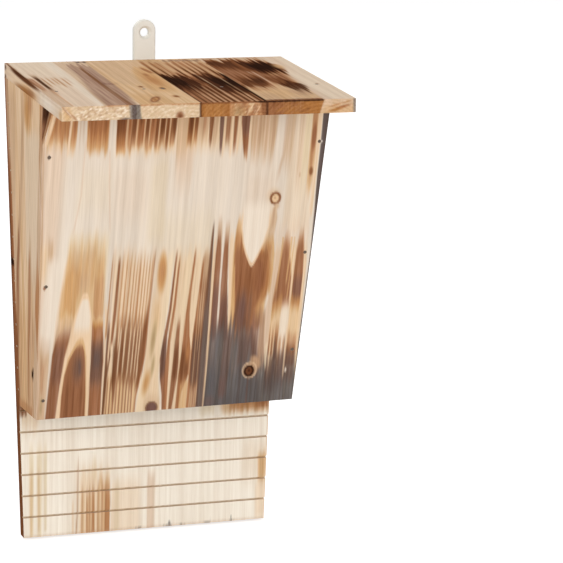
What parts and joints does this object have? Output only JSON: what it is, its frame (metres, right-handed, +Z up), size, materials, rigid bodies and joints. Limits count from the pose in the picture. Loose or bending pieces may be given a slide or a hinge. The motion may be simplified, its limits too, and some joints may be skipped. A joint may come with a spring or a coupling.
{
  "type": "bat box",
  "caption": "Hanging bat box of flamed softwood with a leaning front, a sloping roof and a grooved back board that runs on below as a landing board.",
  "frame": {"origin": "axis of the hanger's hole, in the plane of the wall behind the hanger", "axes": "+X to the right seen from the front, -Y out of the wall to the front, +Z up"},
  "size_m": [0.26, 0.196, 0.47],
  "materials": {
    "back_board": "raw softwood, sawn and lightly flamed",
    "side_panels": "raw softwood, planed and flamed",
    "front_panel": "raw softwood, planed and flamed, charred in places",
    "roof": "raw softwood, planed and flamed, charred in places",
    "hanger": "moulded, off-white, satin",
    "fasteners": "bright steel, dulled by the flame"
  },
  "bodies": {
    "root": {"back_board_1": "back_board", "back_board_2": "back_board", "back_board_3": "back_board", "back_board_4": "back_board", "back_board_5": "back_board", "side_left": "side_panels", "side_right": "side_panels", "front_board_1": "front_panel", "front_board_2": "front_panel", "front_board_3": "front_panel", "front_board_4": "front_panel", "roof_board_1": "roof", "roof_board_2": "roof", "roof_board_3": "roof", "roof_board_4": "roof", "hanger": "hanger", "hanger_screws": "fasteners", "front_nails": "fasteners", "roof_nails": "fasteners", "back_nails": "fasteners"}
  },
  "joints": []
}
